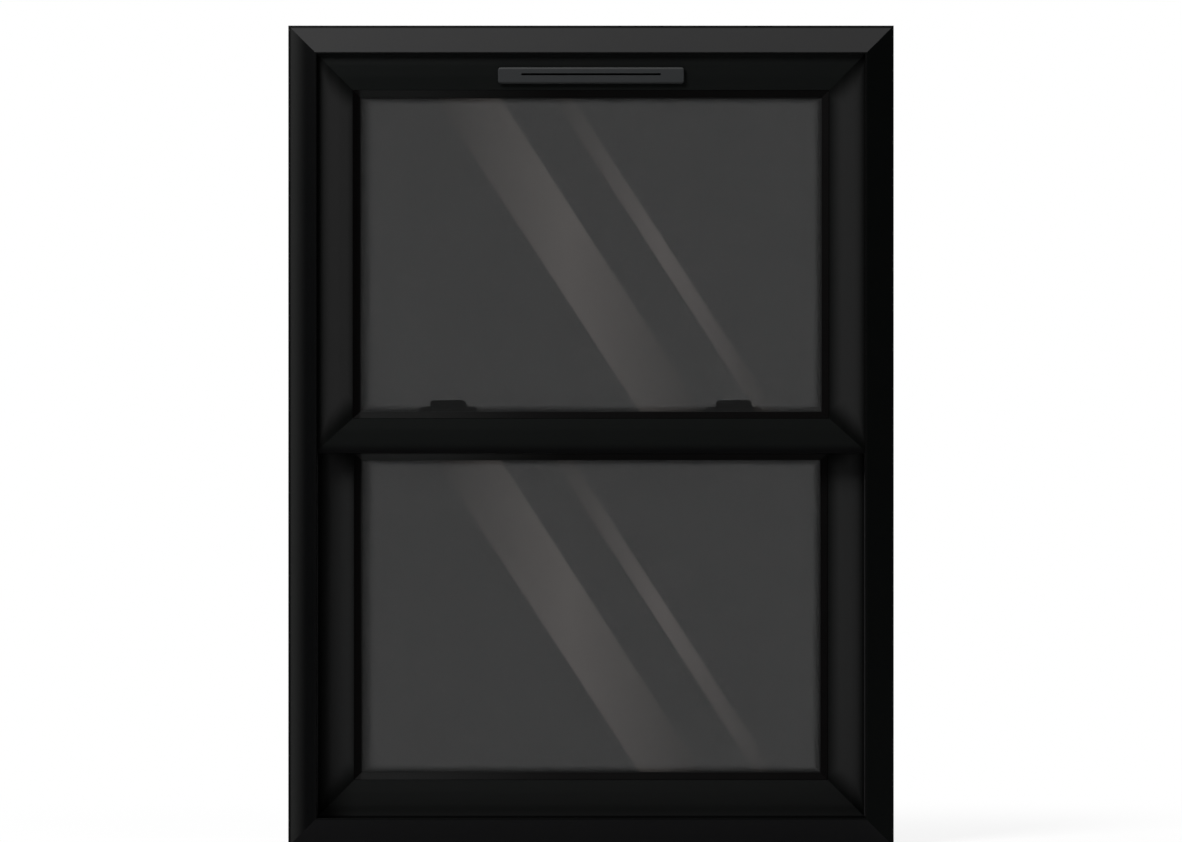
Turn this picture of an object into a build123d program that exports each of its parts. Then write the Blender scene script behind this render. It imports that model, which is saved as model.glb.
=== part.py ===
from build123d import *
import os

os.makedirs("parts", exist_ok=True)

# Vertical sliding sash window in black aluminium, with two sashes that pass each other.
# X runs across the window, Y from the outdoor face to the room, and Z up.
# The origin is under the middle of the sill. Sizes are in millimetres.

# Overall frame
frame_width = 885.0
frame_height = 1200.0

# Frame section: widths count inward from the outer edge, depths back from the outdoor face
frame_face = 42.0
frame_slope = 12.0
frame_lip = 10.0
frame_wall = 2.0
frame_nose_land = 3.0
frame_nose_radius = 1.2
frame_ridge_radius = 4.0
track_floor = 30.0
fin_thickness = 2.0
fin_edge_radius = 0.4
edge_radius = 0.5
back_edge_radius = 1.0

# Interior stops and the ribs that they snap over
stop_depth = 16.0
stop_wall = 2.0
stop_radius = 1.5
rib_thickness = 1.5
rib_height = 4.0
clip_clearance = 0.3

# Sash section: widths count inward from the sash's outer edge
sash_overlap = 5.0
sash_face = 57.0
meeting_face = 51.0
sash_wall = 2.0
sash_nose_radius = 2.0
shoulder = 19.5
shoulder_radius = 60.0
crown = 2.0
bead_face = 11.0
bead_lap = 5.0
bead_lip_depth = 4.5
running_gap = 3.0
sash_gap = 6.0

# Glazing
bead_depth = 8.0
bead_slope_start = 2.2
bead_edge = 1.2
bead_edge_radius = 0.4
bead_clearance = 0.3
gasket_thickness = 3.0
gasket_stand = 0.6
gasket_width = 8.6
pane_thickness = 4.0
cavity_depth = 16.0
edge_clearance = 3.0
spacer_width = 7.0
spacer_inset = 2.5
flange_depth = 8.0
flange_wall = 2.0
block_length = 80.0
block_inset = 60.0

# Movement: the sash height less what the stops and the room above or below take
travel_margin = 108.5

# Spiral balances
tube_diameter = 13.0
tube_wall = 1.0
tube_clearance = 0.5
tube_drop = 50.0
rim_height = 1.0
rim_width = 1.2
plug_length = 12.0
hanger_thickness = 2.0
hanger_width = 12.0
hanger_height = 14.0
hanger_screw_radius = 2.0
rod_width = 6.0
rod_thickness = 1.2
rod_pitch = 120.0
rod_engagement = 30.0
rod_end_gap = 18.0
foot_height = 14.0
foot_reach = 4.0
bush_height = 10.0
bush_clearance = 0.3
slot_clearance = 0.35
groove_clearance = 1.0
groove_side = 1.5

# Corner cleats
cleat_leg = 70.0
cleat_clearance = 0.3
cleat_depth = 14.0

# Sill infill, guides, travel stops, brushes, fixings
infill_clearance = 0.2
infill_wall = 1.6
infill_front_drop = 6.0
infill_back_drop = 1.0
guide_clearance = 0.5
guide_depth = 12.0
guide_length = 60.0
guide_inset = 20.0
guide_corner = 1.0
stop_block_height = 30.0
stop_block_depth = 12.0
stop_block_gap = 0.3
stop_block_setback = 0.5
stop_block_margin = 2.0
stop_block_corner = 1.5
brush_base_width = 4.4
brush_base_height = 0.8
brush_pile_width = 2.6
brush_clearance = 0.3
fixing_radius = 4.0
fixing_access_radius = 6.0
fixing_inset = 200.0
cap_radius = 7.5
cap_height = 1.2

# Trickle vent
vent_width = 272.0
vent_height = 24.0
vent_hood_depth = 8.0
vent_drop = 36.3
vent_corner = 4.5
vent_wall = 2.0
vent_edge_radius = 1.6
vent_slot_width = 204.0
vent_slot_height = 3.0
vent_slot_rise = 1.8
vent_duct_height = 8.0
grille_thickness = 2.0
grille_slot_width = 9.0
grille_slot_height = 6.0
grille_pitch = 20.0
grille_count = 10
slider_thickness = 1.4
slider_clearance = 0.2
slider_travel = 10.0
guide_rail_width = 2.4
guide_rail_lip = 1.2
guide_rail_thickness = 0.7
knob_width = 4.0
knob_height = 11.2
knob_inset = 8.0

# Catches
catch_offset = 210.0
catch_base_width = 86.0
catch_base_depth = 26.0
catch_base_height = 17.6
catch_base_corner = 8.0
catch_base_plan_corner = 6.0
lever_length = 52.5
lever_width = 13.0
lever_thickness = 6.4
lever_hub_radius = 9.0
lever_gap = 0.3
spindle_radius = 4.0
spindle_clearance = 0.06
spindle_length = 12.0
keeper_width = 52.5
keeper_height = 17.3
keeper_corner = 5.5
keeper_wall = 2.4
keeper_hook = 2.2
keeper_foot = 2.6
keeper_face_gap = 1.0
keeper_setback = 0.5
screw_radius = 1.6
screw_head_radius = 3.2
screw_head_height = 1.6
screw_clearance = 0.05
head_clearance = 0.3
screw_length = 10.0
sash_screw_length = 16.0
catch_screw_offset = 32.0
keeper_screw_offset = 18.0
keeper_screw_head = 2.2
keeper_head_height = 0.8

# Finger lifts
lift_offset = 200.0
lift_width = 90.0
lift_plate_height = 34.0
lift_plate_thickness = 2.5
lift_reach = 16.0
lift_lip = 9.0
lift_rise = 14.0
lift_screw_offset = 33.0
lift_edge_radius = 1.0
lift_corner_radius = 1.5
lift_ledge_radius = 3.0

# Depths that follow from the glazing
glass_front = bead_depth + gasket_thickness
spacer_front = glass_front + pane_thickness
inner_pane_front = spacer_front + cavity_depth
glass_back = inner_pane_front + pane_thickness
flange_front = glass_back + gasket_thickness
sash_depth = flange_front + flange_depth
track_depth = running_gap + 2 * sash_depth + sash_gap + running_gap
frame_depth = frame_lip + track_depth + stop_depth
stop_front = frame_depth - stop_depth
fin_front = frame_lip + running_gap + sash_depth + (sash_gap - fin_thickness) / 2
fin_back = fin_front + fin_thickness

# Places that follow from the sizes
front = -frame_depth / 2
frame_half = frame_width / 2
upper_front = front + frame_lip + running_gap
lower_front = upper_front + sash_depth + sash_gap
sash_edge = frame_face - sash_overlap
sash_half = frame_half - sash_edge
sash_height = (frame_height - 2 * sash_edge + meeting_face) / 2
travel = sash_height - travel_margin
upper_top = frame_height - sash_edge
upper_bottom = upper_top - sash_height
lower_bottom = sash_edge
lower_top = lower_bottom + sash_height
meeting_scale = meeting_face / sash_face
rebate_floor = sash_face - bead_lap
glass_edge = rebate_floor + edge_clearance
sightline = sash_face + bead_face

# Rectangles as left, right, bottom, top, and how wide each side is beside a full one
frame_box = (-frame_half, frame_half, 0.0, frame_height)
upper_box = (-sash_half, sash_half, upper_bottom, upper_top)
lower_box = (-sash_half, sash_half, lower_bottom, lower_top)
frame_scales = {"top": 1.0, "bottom": 1.0, "left": 1.0, "right": 1.0}
upper_scales = {**frame_scales, "bottom": meeting_scale}
lower_scales = {**frame_scales, "top": meeting_scale}
back = (0, 1, 0)


def write_piece(builder, name):
    """Label a finished piece and write it to its own file."""
    builder.part.label = name
    export_step(builder.part, "parts/" + name + ".step")


def write_group(builders, name):
    """Write like pieces as one group of separate solids."""
    solids = [solid for builder in builders for solid in builder.part.solids()]
    group = Compound(label=name, children=solids)
    export_step(group, "parts/" + name + ".step")


def screws(plane, spots, out, head, shank, length):
    """Screws with heads that stand out of a plane, on one side and mirrored to the other.

    The head is its radius and height, and the shank only its radius.
    """
    head_radius, head_height = head
    with BuildPart() as group:
        with BuildSketch(plane):
            with Locations(spots):
                Circle(head_radius)
        extrude(amount=head_height, dir=out)
        with BuildSketch(plane):
            with Locations(spots):
                Circle(shank)
        extrude(amount=-length, dir=out)
        mirror(about=Plane.YZ)
    return group


def inset_box(box, scales, width):
    """The rectangle that lies a width inside a box, less on a side with a slimmer section."""
    left, right, bottom, top = box
    return (
        left + width * scales["left"],
        right - width * scales["right"],
        bottom + width * scales["bottom"],
        top - width * scales["top"],
    )


def box_centre(box):
    """The middle of a rectangle, across and up."""
    left, right, bottom, top = box
    return (left + right) / 2, (bottom + top) / 2


def front_plane(y):
    """An upright plane at depth y, with X across and Z up in its sketches."""
    return Plane(origin=(0, y, 0), x_dir=(1, 0, 0), z_dir=(0, -1, 0))


def mitred_side(side, box, y, scales, section):
    """One side of a rectangular ring: a section run along its edge and mitred at both ends.

    The section takes the side's scale and returns its outline as (width, depth, radius)
    and its hollows as lists of (width, depth).
    """
    left, right, bottom, top = box
    middle, mid_height = box_centre(box)
    edge, inward, length, ends = {
        "top": ((middle, y, top), Vector(0, 0, -1), right - left, ("left", "right")),
        "bottom": ((middle, y, bottom), Vector(0, 0, 1), right - left, ("left", "right")),
        "left": ((left, y, mid_height), Vector(1, 0, 0), top - bottom, ("bottom", "top")),
        "right": ((right, y, mid_height), Vector(-1, 0, 0), top - bottom, ("bottom", "top")),
    }[side]
    outward = {
        "left": Vector(-1, 0, 0),
        "right": Vector(1, 0, 0),
        "bottom": Vector(0, 0, -1),
        "top": Vector(0, 0, 1),
    }
    across = Plane(origin=edge, x_dir=inward, z_dir=inward.cross(Vector(back)))
    outline, hollows = section(scales[side])
    with BuildPart() as bar:
        with BuildSketch(across):
            with BuildLine():
                FilletPolyline(
                    [(width, depth) for width, depth, radius in outline],
                    radius=[radius for width, depth, radius in outline],
                    close=True,
                )
            make_face()
            for hollow in hollows:
                with BuildLine():
                    Polyline(hollow, close=True)
                make_face(mode=Mode.SUBTRACT)
        extrude(amount=length / 2, both=True)
        for end in ends:
            corner = Vector(edge) + outward[end] * (length / 2)
            normal = outward[end] + inward * (scales[end] / scales[side])
            split(bisect_by=Plane(origin=corner, z_dir=normal), keep=Keep.BOTTOM)
    return bar


def flat_ring(outer, inner, y, depth):
    """A flat rectangular loop between two rectangles, such as a gasket."""
    with BuildPart() as ring:
        with BuildSketch(front_plane(y)):
            for box, mode in ((outer, Mode.ADD), (inner, Mode.SUBTRACT)):
                with Locations(box_centre(box)):
                    Rectangle(box[1] - box[0], box[3] - box[2], mode=mode)
        extrude(amount=depth, dir=back)
    return ring


def flat_panel(box, y, depth):
    """A rectangular sheet, such as a pane."""
    with BuildPart() as panel:
        with BuildSketch(front_plane(y)):
            with Locations(box_centre(box)):
                Rectangle(box[1] - box[0], box[3] - box[2])
        extrude(amount=depth, dir=back)
    return panel


def corner_cleat(corner, box, y, scales, low, high, leg):
    """An L of flat bar that fills the hollows of two mitred members at one corner."""
    left, right, bottom, top = box
    end_x, end_z = corner
    x = left if end_x == "left" else right
    z = bottom if end_z == "bottom" else top
    toward_x = 1 if end_x == "left" else -1
    toward_z = 1 if end_z == "bottom" else -1
    low_x = low * scales[end_x]
    high_x = high * scales[end_x]
    low_z = low * scales[end_z]
    high_z = high * scales[end_z]
    points = [
        (low_x, low_z),
        (leg, low_z),
        (leg, high_z),
        (high_x, high_z),
        (high_x, leg),
        (low_x, leg),
    ]
    with BuildPart() as cleat:
        with BuildSketch(front_plane(y)):
            with BuildLine():
                Polyline([(x + toward_x * a, z + toward_z * b) for a, b in points], close=True)
            make_face()
        extrude(amount=cleat_depth, dir=back)
    return cleat


CORNERS = [(across, up) for up in ("bottom", "top") for across in ("left", "right")]
SIDES = ("top", "bottom", "left", "right")


# Outer frame: four mitred members with an outdoor lip, a parting fin and two sash tracks
def lip_depth_at(width):
    """Depth of the lip's sloping face at a width from the outer edge."""
    return frame_slope * max(0.0, 1 - width / (frame_face - frame_nose_land))


def frame_section(scale):
    """Frame member: a box with a sloping lip, two tracks, a fin and ribs for the stop."""
    front_rib = stop_front + stop_wall + clip_clearance
    back_rib = frame_depth - stop_wall - clip_clearance - rib_thickness
    rib_top = track_floor + rib_height
    outline = [
        (0, frame_slope, edge_radius),
        (frame_face - frame_nose_land, 0, frame_ridge_radius),
        (frame_face, 0, frame_nose_radius),
        (frame_face, frame_lip, back_edge_radius),
        (track_floor, frame_lip, 0),
        (track_floor, fin_front, 0),
        (frame_face, fin_front, fin_edge_radius),
        (frame_face, fin_back, fin_edge_radius),
        (track_floor, fin_back, 0),
        (track_floor, front_rib, 0),
        (rib_top, front_rib, 0),
        (rib_top, front_rib + rib_thickness, 0),
        (track_floor, front_rib + rib_thickness, 0),
        (track_floor, back_rib, 0),
        (rib_top, back_rib, 0),
        (rib_top, back_rib + rib_thickness, 0),
        (track_floor, back_rib + rib_thickness, 0),
        (track_floor, frame_depth, 0),
        (0, frame_depth, back_edge_radius),
    ]
    floor_inside = track_floor - frame_wall
    lip_start = track_floor + frame_wall / 2
    lip_end = frame_face - frame_wall * 1.5
    hollows = [
        [
            (frame_wall, lip_depth_at(frame_wall) + frame_wall),
            (floor_inside, lip_depth_at(floor_inside) + frame_wall),
            (floor_inside, fin_front),
            (frame_wall, fin_front),
        ],
        [
            (frame_wall, fin_back),
            (floor_inside, fin_back),
            (floor_inside, frame_depth - frame_wall),
            (frame_wall, frame_depth - frame_wall),
        ],
        [
            (lip_start, lip_depth_at(lip_start) + frame_wall),
            (lip_end, lip_depth_at(lip_end) + frame_wall),
            (lip_end, frame_lip - frame_wall),
            (lip_start, frame_lip - frame_wall),
        ],
    ]
    return outline, hollows


# The balances stand in the tracks, on lines that the sash edges also follow
tube_x = frame_half - track_floor - tube_clearance - tube_diameter / 2
tube_top = frame_height - tube_drop
tube_bottom = tube_top - plug_length - rod_end_gap - travel - rod_engagement
groove_depth = sash_half - (tube_x - tube_diameter / 2) + groove_clearance
groove_width = tube_diameter + 2 * groove_side
upper_tube_y = upper_front + sash_depth / 2
lower_tube_y = lower_front + sash_depth / 2
hanger_screw_z = tube_top + hanger_thickness + hanger_height / 2
fixing_y = (lower_tube_y + tube_diameter / 2 + front + stop_front) / 2
fixing_heights = (fixing_inset, frame_height / 2, frame_height - fixing_inset)

for side in ("top", "bottom"):
    member = mitred_side(side, frame_box, front, frame_scales, frame_section)
    write_piece(member, {"top": "frame_head", "bottom": "frame_sill"}[side])

for side, hand in (("left", -1), ("right", 1)):
    bar = mitred_side(side, frame_box, front, frame_scales, frame_section)
    outer_edge = hand * frame_half
    floor_face = hand * (frame_half - track_floor)
    with BuildPart() as jamb:
        add(bar.part)
        with BuildSketch(Plane.YZ.offset(outer_edge)):
            with Locations([(fixing_y, height) for height in fixing_heights]):
                Circle(fixing_radius)
        extrude(amount=frame_wall, dir=(-hand, 0, 0), mode=Mode.SUBTRACT)
        with BuildSketch(Plane.YZ.offset(floor_face)):
            with Locations([(fixing_y, height) for height in fixing_heights]):
                Circle(fixing_access_radius)
            with Locations([(y, hanger_screw_z) for y in (upper_tube_y, lower_tube_y)]):
                Circle(hanger_screw_radius)
        extrude(amount=frame_wall, dir=(hand, 0, 0), mode=Mode.SUBTRACT)
    write_piece(jamb, "frame_jamb_" + side)

frame_cleats = [
    corner_cleat(
        corner,
        frame_box,
        front + fin_back + cleat_clearance,
        frame_scales,
        frame_wall + cleat_clearance,
        track_floor - frame_wall - cleat_clearance,
        cleat_leg,
    )
    for corner in CORNERS
]
write_group(frame_cleats, "frame_corner_cleats")


# Interior stops: open channels that snap over the ribs and hold the lower sash in its track
def stop_section(scale):
    """Interior stop: a channel open to the track's floor."""
    inside = frame_face - stop_wall
    outline = [
        (track_floor, stop_front, 0),
        (frame_face, stop_front, stop_radius),
        (frame_face, frame_depth, stop_radius),
        (track_floor, frame_depth, 0),
        (track_floor, frame_depth - stop_wall, 0),
        (inside, frame_depth - stop_wall, 0),
        (inside, stop_front + stop_wall, 0),
        (track_floor, stop_front + stop_wall, 0),
    ]
    return outline, []


stops = [mitred_side(side, frame_box, front, frame_scales, stop_section) for side in SIDES]
write_group(stops, "interior_stops")

# Sloping infill in the sill's outdoor track, which sheds rain over the lip
infill_half = frame_half - track_floor - infill_clearance
infill_front = front + frame_lip + infill_clearance
infill_back = front + fin_front - infill_clearance
infill_low = frame_face - infill_front_drop
infill_high = frame_face - infill_back_drop
with BuildPart() as sill_infill:
    with BuildSketch(Plane.YZ):
        with BuildLine():
            Polyline(
                (infill_front, track_floor),
                (infill_front, infill_low),
                (infill_back, infill_high),
                (infill_back, track_floor),
                (infill_back - infill_wall, track_floor),
                (infill_back - infill_wall, infill_high - infill_wall),
                (infill_front + infill_wall, infill_low - infill_wall),
                (infill_front + infill_wall, track_floor),
                close=True,
            )
        make_face()
    extrude(amount=infill_half, both=True)
write_piece(sill_infill, "sill_infill")


# Brush seals: a backing strip with a narrower pile that stops just short of what it wipes
def brush_strip(start, along, length, toward, reach):
    """A straight brush from a start point, standing out of its carrier by a reach."""
    across = Vector(along).cross(Vector(toward))
    plane = Plane(origin=start, x_dir=across, z_dir=along)
    with BuildPart() as strip:
        with BuildSketch(plane):
            with BuildLine():
                half_base = brush_base_width / 2
                half_pile = brush_pile_width / 2
                sign = 1 if plane.y_dir.dot(Vector(toward)) > 0 else -1
                Polyline(
                    (-half_base, 0),
                    (half_base, 0),
                    (half_base, sign * brush_base_height),
                    (half_pile, sign * brush_base_height),
                    (half_pile, sign * reach),
                    (-half_pile, sign * reach),
                    (-half_pile, sign * brush_base_height),
                    (-half_base, sign * brush_base_height),
                    close=True,
                )
            make_face()
        extrude(amount=length)
    return strip


lip_reach = running_gap - brush_clearance
fin_reach = (sash_gap - fin_thickness) / 2 - brush_clearance
brush_width_in = frame_face - brush_base_width / 2 - frame_wall / 2
brush_bottom = frame_face
brush_length = frame_height - 2 * frame_face
frame_brushes = []
for hand in (-1, 1):
    brush_x = hand * (frame_half - brush_width_in)
    for y, toward, reach in (
        (front + frame_lip, back, lip_reach),
        (front + fin_front, (0, -1, 0), fin_reach),
        (front + fin_back, back, fin_reach),
        (front + stop_front, (0, -1, 0), lip_reach),
    ):
        start = (brush_x, y, brush_bottom)
        frame_brushes.append(brush_strip(start, (0, 0, 1), brush_length, toward, reach))
head_brush_half = frame_half - frame_face
head_brush_start = (-head_brush_half, front + frame_lip, frame_height - brush_width_in)
head_brush = brush_strip(head_brush_start, (1, 0, 0), 2 * head_brush_half, back, lip_reach)
sill_brush_start = (-head_brush_half, front + stop_front, brush_width_in)
sill_brush = brush_strip(
    sill_brush_start, (1, 0, 0), 2 * head_brush_half, (0, -1, 0), lip_reach
)
write_group(frame_brushes + [head_brush, sill_brush], "frame_brush_seals")

# Caps over the fixing holes in the track floors
with BuildPart() as fixing_caps:
    with BuildSketch(Plane.YZ.offset(frame_half - track_floor)):
        with Locations([(fixing_y, height) for height in fixing_heights]):
            Circle(cap_radius)
    extrude(amount=cap_height, dir=(-1, 0, 0))
    chamfer(fixing_caps.faces().sort_by(Axis.X)[0:3].edges(), cap_height / 3)
    with BuildSketch(Plane.YZ.offset(frame_half - track_floor)):
        with Locations([(fixing_y, height) for height in fixing_heights]):
            Circle(fixing_access_radius - clip_clearance)
    extrude(amount=frame_wall * 2, dir=(1, 0, 0))
    mirror(about=Plane.YZ)
write_piece(fixing_caps, "fixing_caps")

# Travel stops: nylon blocks on the track floors that the sash stiles run against
stop_block_inner = frame_half - frame_face + stop_block_setback
stop_block_width = frame_half - track_floor - stop_block_inner
upper_stop_y = upper_front + stop_block_margin
lower_stop_y = lower_front + sash_depth - stop_block_margin - stop_block_depth
upper_stop_z = upper_bottom - travel - stop_block_gap - stop_block_height
lower_stop_z = lower_top + travel + stop_block_gap
with BuildPart() as travel_stops:
    for y, z in ((upper_stop_y, upper_stop_z), (lower_stop_y, lower_stop_z)):
        with BuildSketch(Plane.XY.offset(z)):
            with Locations((stop_block_inner + stop_block_width / 2, y + stop_block_depth / 2)):
                RectangleRounded(stop_block_width, stop_block_depth, stop_block_corner)
        extrude(amount=stop_block_height)
    mirror(about=Plane.YZ)
write_piece(travel_stops, "travel_stops")

# Spiral balances: fixed tubes, turning bushes, and twisted rods that the sashes carry
tube_radius = tube_diameter / 2
bore_radius = tube_radius - tube_wall
track_lines = {"upper": upper_tube_y, "lower": lower_tube_y}
bush_bottom = tube_bottom + rim_height + bush_clearance
for track, y in track_lines.items():
    with BuildPart() as tubes:
        with BuildSketch(Plane.XY.offset(tube_bottom)):
            with Locations((-tube_x, y), (tube_x, y)):
                Circle(tube_radius)
                Circle(bore_radius, mode=Mode.SUBTRACT)
        extrude(amount=tube_top - tube_bottom)
        with BuildSketch(Plane.XY.offset(tube_bottom)):
            with Locations((-tube_x, y), (tube_x, y)):
                Circle(tube_radius - tube_wall / 2)
                Circle(bore_radius - rim_width, mode=Mode.SUBTRACT)
        extrude(amount=rim_height)
    write_piece(tubes, track + "_balance_tubes")

# Hangers plug the tubes and are screwed to the track floors
with BuildPart() as balance_hangers:
    for y in track_lines.values():
        with BuildSketch(Plane.XY.offset(tube_top - plug_length)):
            with Locations((tube_x, y)):
                Circle(bore_radius)
        extrude(amount=plug_length)
        with BuildSketch(Plane.XY.offset(tube_top)):
            with Locations((tube_x, y)):
                Circle(tube_radius)
            with Locations((frame_half - track_floor - hanger_thickness / 2, y)):
                Rectangle(hanger_thickness, hanger_width)
        extrude(amount=hanger_thickness)
        with BuildSketch(Plane.YZ.offset(frame_half - track_floor)):
            with Locations((y, hanger_screw_z)):
                Rectangle(hanger_width, hanger_height)
                Circle(hanger_screw_radius, mode=Mode.SUBTRACT)
        extrude(amount=hanger_thickness, dir=(-1, 0, 0))
    mirror(about=Plane.YZ)
write_piece(balance_hangers, "balance_hangers")

hanger_screws = screws(
    Plane.YZ.offset(frame_half - track_floor - hanger_thickness),
    [(y, hanger_screw_z) for y in track_lines.values()],
    (-1, 0, 0),
    (screw_head_radius, screw_head_height),
    hanger_screw_radius - screw_clearance,
    screw_length,
)
write_piece(hanger_screws, "hanger_screws")


def twisted_strip(width, thickness, length):
    """A flat strip twisted about Z, one turn for each pitch, standing on the origin."""
    section = Face.make_rect(width, thickness)
    turn = 360 * length / rod_pitch
    return Solid.extrude_linear_with_rotation(section, (0, 0, 0), (0, 0, length), turn)


def balance_rod(hand, y, sash_bottom, rod_top):
    """A twisted rod standing on its foot, which is fixed in the groove of a sash stile."""
    foot_inner = hand * (sash_half - groove_depth)
    foot_outer = hand * (sash_half + foot_reach)
    strip = twisted_strip(rod_width, rod_thickness, rod_top - sash_bottom)
    with BuildPart() as rod:
        with BuildSketch(Plane.XY.offset(sash_bottom)):
            with Locations(((foot_inner + foot_outer) / 2, y)):
                Rectangle(abs(foot_outer - foot_inner), groove_width - 2 * clip_clearance)
        extrude(amount=foot_height)
        add(Pos(hand * tube_x, y, sash_bottom) * strip)
    return rod


lower_rod_top = tube_bottom + rod_engagement
upper_rod_top = lower_rod_top + travel
rod_ends = {"upper": (upper_bottom, upper_rod_top), "lower": (lower_bottom, lower_rod_top)}
for track, (sash_bottom, rod_top) in rod_ends.items():
    y = track_lines[track]
    rod_turn = 360 * (bush_bottom - sash_bottom) / rod_pitch
    slot = twisted_strip(
        rod_width + 2 * slot_clearance, rod_thickness + 2 * slot_clearance, bush_height
    )
    for side, hand in (("left", -1), ("right", 1)):
        rod = balance_rod(hand, y, sash_bottom, rod_top)
        write_piece(rod, track + "_balance_rod_" + side)
        cutter = Pos(hand * tube_x, y, bush_bottom) * Rot(Z=rod_turn) * slot
        with BuildPart() as bush:
            with BuildSketch(Plane.XY.offset(bush_bottom)):
                with Locations((hand * tube_x, y)):
                    Circle(bore_radius - bush_clearance)
            extrude(amount=bush_height)
            add(cutter, mode=Mode.SUBTRACT)
        write_piece(bush, track + "_bush_" + side)


# Sashes: four mitred hollow members, slimmer where the two meet
def crown_at(width):
    """Depth of the sash's face at a width from either edge, along its low shoulders."""
    return crown * max(0.0, 1 - width / shoulder)


def sash_section(scale, grooved):
    """Sash member: hollow, with a crowned face, a lip for the bead and a glazing flange."""
    groove_low = (sash_depth - groove_width) / 2
    groove_high = (sash_depth + groove_width) / 2
    middle = sash_depth / 2
    outline = [
        (0, crown, sash_nose_radius),
        (shoulder * scale, 0, shoulder_radius),
        ((sash_face - shoulder) * scale, 0, shoulder_radius),
        (sash_face * scale, crown, edge_radius),
        (sash_face * scale, bead_lip_depth, 0),
        (rebate_floor * scale, bead_lip_depth, 0),
        (rebate_floor * scale, flange_front, 0),
        (sightline * scale, flange_front, edge_radius),
        (sightline * scale, sash_depth, back_edge_radius),
        (0, sash_depth, sash_nose_radius),
    ]
    if grooved:
        outline += [
            (0, groove_high, 0),
            (groove_depth, groove_high, 0),
            (groove_depth, groove_low, 0),
            (0, groove_low, 0),
        ]
    inner = (groove_depth if grooved else 0) + sash_wall
    wide = rebate_floor * scale - sash_wall
    face_inside = [
        (sash_wall * 1.5, crown_at(sash_wall) + sash_wall),
        (shoulder * scale, sash_wall),
        ((sash_face - shoulder) * scale, sash_wall),
        (wide, crown_at(bead_lap + sash_wall) + sash_wall),
        (wide, middle - sash_wall / 2),
    ]
    if grooved:
        face_inside += [
            (inner, middle - sash_wall / 2),
            (inner, groove_low - sash_wall),
            (sash_wall * 1.5, groove_low - sash_wall),
        ]
    else:
        face_inside += [(sash_wall * 1.5, middle - sash_wall / 2)]
    back_inside = [
        (inner, middle + sash_wall / 2),
        (wide, middle + sash_wall / 2),
        (wide, flange_front + flange_wall),
        (sightline * scale - flange_wall, flange_front + flange_wall),
        (sightline * scale - flange_wall, sash_depth - flange_wall),
    ]
    if grooved:
        back_inside += [
            (sash_wall, sash_depth - flange_wall),
            (sash_wall, groove_high + sash_wall),
            (inner, groove_high + sash_wall),
        ]
    else:
        back_inside += [(sash_wall, sash_depth - flange_wall)]
        back_inside[0] = (sash_wall, middle + sash_wall / 2)
    return outline, [face_inside, back_inside]


def rail_section(scale):
    """A sash rail, without the balance groove."""
    return sash_section(scale, False)


def stile_section(scale):
    """A sash stile, with the balance groove in its edge."""
    return sash_section(scale, True)


def notched_rail(side, box, y, scales):
    """A mitred rail whose ends carry the balance grooves of the stiles on through."""
    bar = mitred_side(side, box, y, scales, rail_section)
    with BuildPart() as rail:
        add(bar.part)
        with BuildSketch(Plane.XY.offset(box[2])):
            with Locations([(hand * sash_half, y + sash_depth / 2) for hand in (-1, 1)]):
                Rectangle(2 * groove_depth, groove_width)
        extrude(amount=box[3] - box[2], mode=Mode.SUBTRACT)
    return rail


# Glazing beads: bevelled strips that hook behind the sash's face and press on the gasket
def bead_section(scale):
    """Glazing bead: a bevel towards the glass, with a foot behind the sash's lip."""
    outline = [
        ((sash_face + bead_clearance) * scale, bead_slope_start, bead_edge_radius),
        (sightline * scale, bead_depth - bead_edge, bead_edge_radius),
        (sightline * scale, bead_depth, 0),
        ((rebate_floor + bead_clearance) * scale, bead_depth, 0),
        ((rebate_floor + bead_clearance) * scale, bead_lip_depth + bead_clearance, 0),
        ((sash_face + bead_clearance) * scale, bead_lip_depth + bead_clearance, 0),
    ]
    return outline, []


def glazing(name, box, scales, y):
    """Write the panes, spacer, gaskets, beads and setting blocks of one sash."""
    pane = inset_box(box, scales, glass_edge)
    spacer = inset_box(box, scales, glass_edge + spacer_inset)
    spacer_inner = inset_box(box, scales, glass_edge + spacer_inset + spacer_width)
    gasket = inset_box(box, scales, sightline + gasket_stand - gasket_width)
    gasket_inner = inset_box(box, scales, sightline + gasket_stand)
    write_piece(flat_panel(pane, y + glass_front, pane_thickness), name + "_outer_pane")
    write_piece(flat_panel(pane, y + inner_pane_front, pane_thickness), name + "_inner_pane")
    write_piece(
        flat_ring(spacer, spacer_inner, y + spacer_front, cavity_depth), name + "_spacer_bar"
    )
    write_piece(
        flat_ring(gasket, gasket_inner, y + bead_depth, gasket_thickness), name + "_outer_gasket"
    )
    write_piece(
        flat_ring(gasket, gasket_inner, y + glass_back, gasket_thickness), name + "_inner_gasket"
    )
    beads = [mitred_side(side, box, y, scales, bead_section) for side in SIDES]
    write_group(beads, name + "_glazing_beads")
    write_piece(setting_blocks(box, scales, y), name + "_setting_blocks")


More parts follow.
